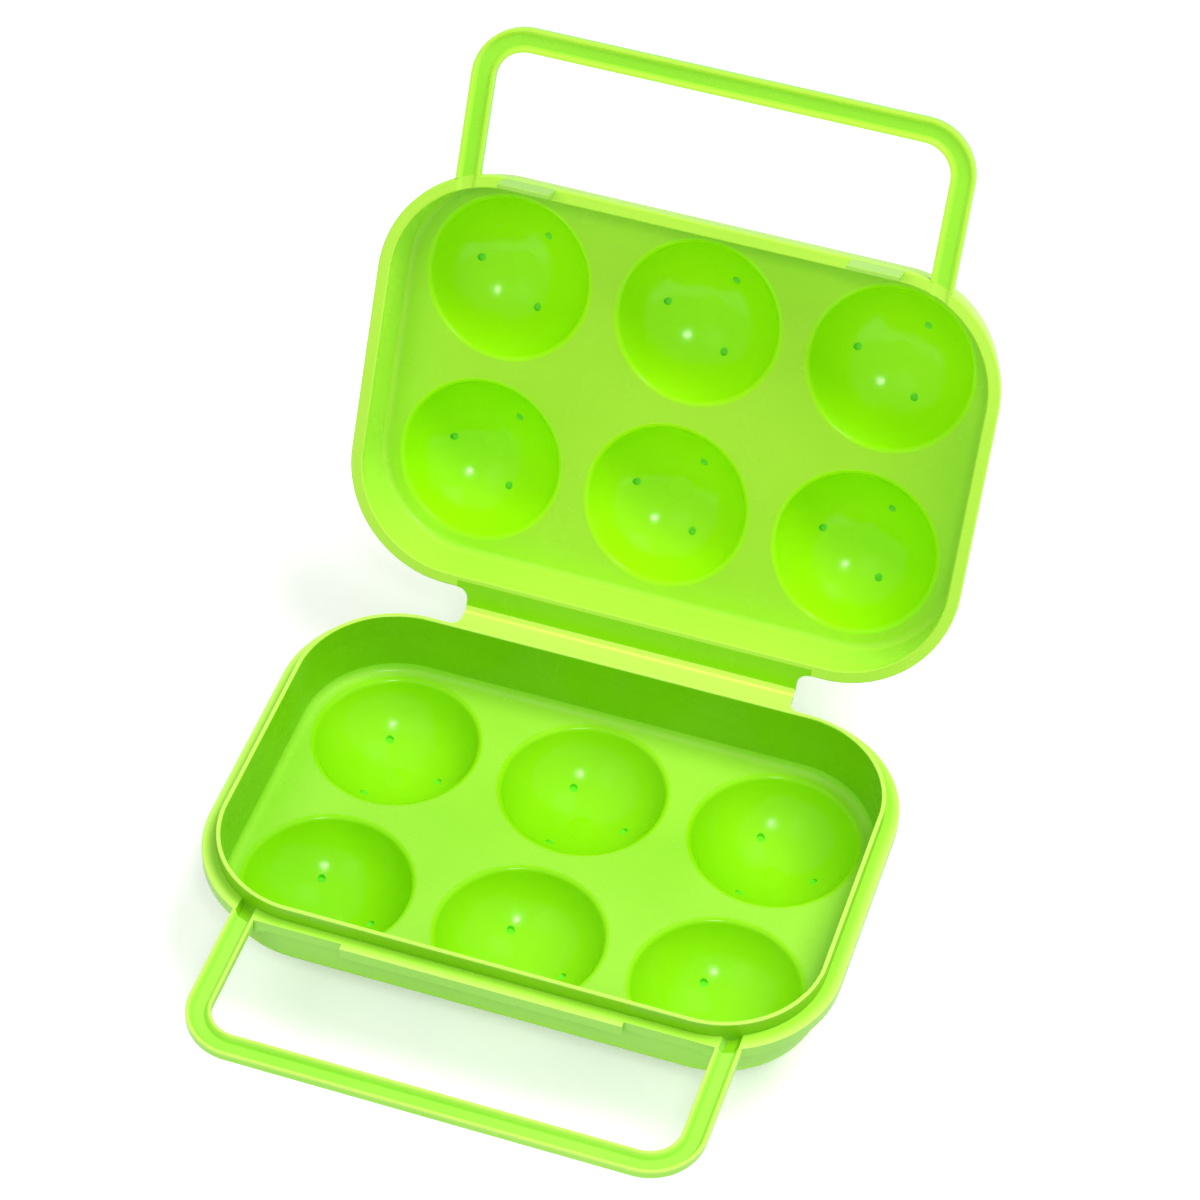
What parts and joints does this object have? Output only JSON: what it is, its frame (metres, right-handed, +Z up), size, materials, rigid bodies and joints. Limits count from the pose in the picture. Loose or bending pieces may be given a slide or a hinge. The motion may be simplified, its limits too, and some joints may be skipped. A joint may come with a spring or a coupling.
{
  "type": "egg storage container",
  "caption": "Hinged egg carrier: two shallow trays of round cups that close over each other, half handles that meet as one grip, a living hinge and snap tongues.",
  "frame": {"origin": "middle of the base's cup grid, on the plane of the cups' flat feet that the carrier stands on", "axes": "+Z up, +Y from the handle side to the hinge, +X along the hinge to the right seen from the front"},
  "size_m": [0.166, 0.228, 0.1744],
  "materials": {
    "green_plastic": "gloss"
  },
  "bodies": {
    "base": {"base_wall": "green_plastic", "base_floor": "green_plastic", "base_handle": "green_plastic", "base_hinge_leaf": "green_plastic", "living_hinge": "green_plastic", "base_cup_front_left": "green_plastic", "base_cup_front_middle": "green_plastic", "base_cup_front_right": "green_plastic", "base_cup_back_left": "green_plastic", "base_cup_back_middle": "green_plastic", "base_cup_back_right": "green_plastic"},
    "lid": {"lid_wall": "green_plastic", "lid_floor": "green_plastic", "lid_handle": "green_plastic", "lid_hinge_leaf": "green_plastic", "lid_cup_front_left": "green_plastic", "lid_cup_front_middle": "green_plastic", "lid_cup_front_right": "green_plastic", "lid_cup_back_left": "green_plastic", "lid_cup_back_middle": "green_plastic", "lid_cup_back_right": "green_plastic"},
    "latch_left": {"latch_tongue_left": "green_plastic"},
    "latch_right": {"latch_tongue_right": "green_plastic"}
  },
  "joints": [
    {"name": "lid_hinge", "type": "hinge", "parent": "base", "child": "lid", "pos_m": [0, 0.0621, 0.03205], "axis": [-1, 0, 0], "range_deg": [-115.4, 64.6]},
    {"name": "latch_flex_left", "type": "hinge", "parent": "lid", "child": "latch_left", "pos_m": [-0.046, 0.11289, 0.13867], "axis": [-1, 0, 0], "range_deg": [0, 10], "stiffness_Nm_per_rad": 0.05},
    {"name": "latch_flex_right", "type": "hinge", "parent": "lid", "child": "latch_right", "pos_m": [0.046, 0.11289, 0.13867], "axis": [-1, 0, 0], "range_deg": [0, 10], "stiffness_Nm_per_rad": 0.05}
  ]
}
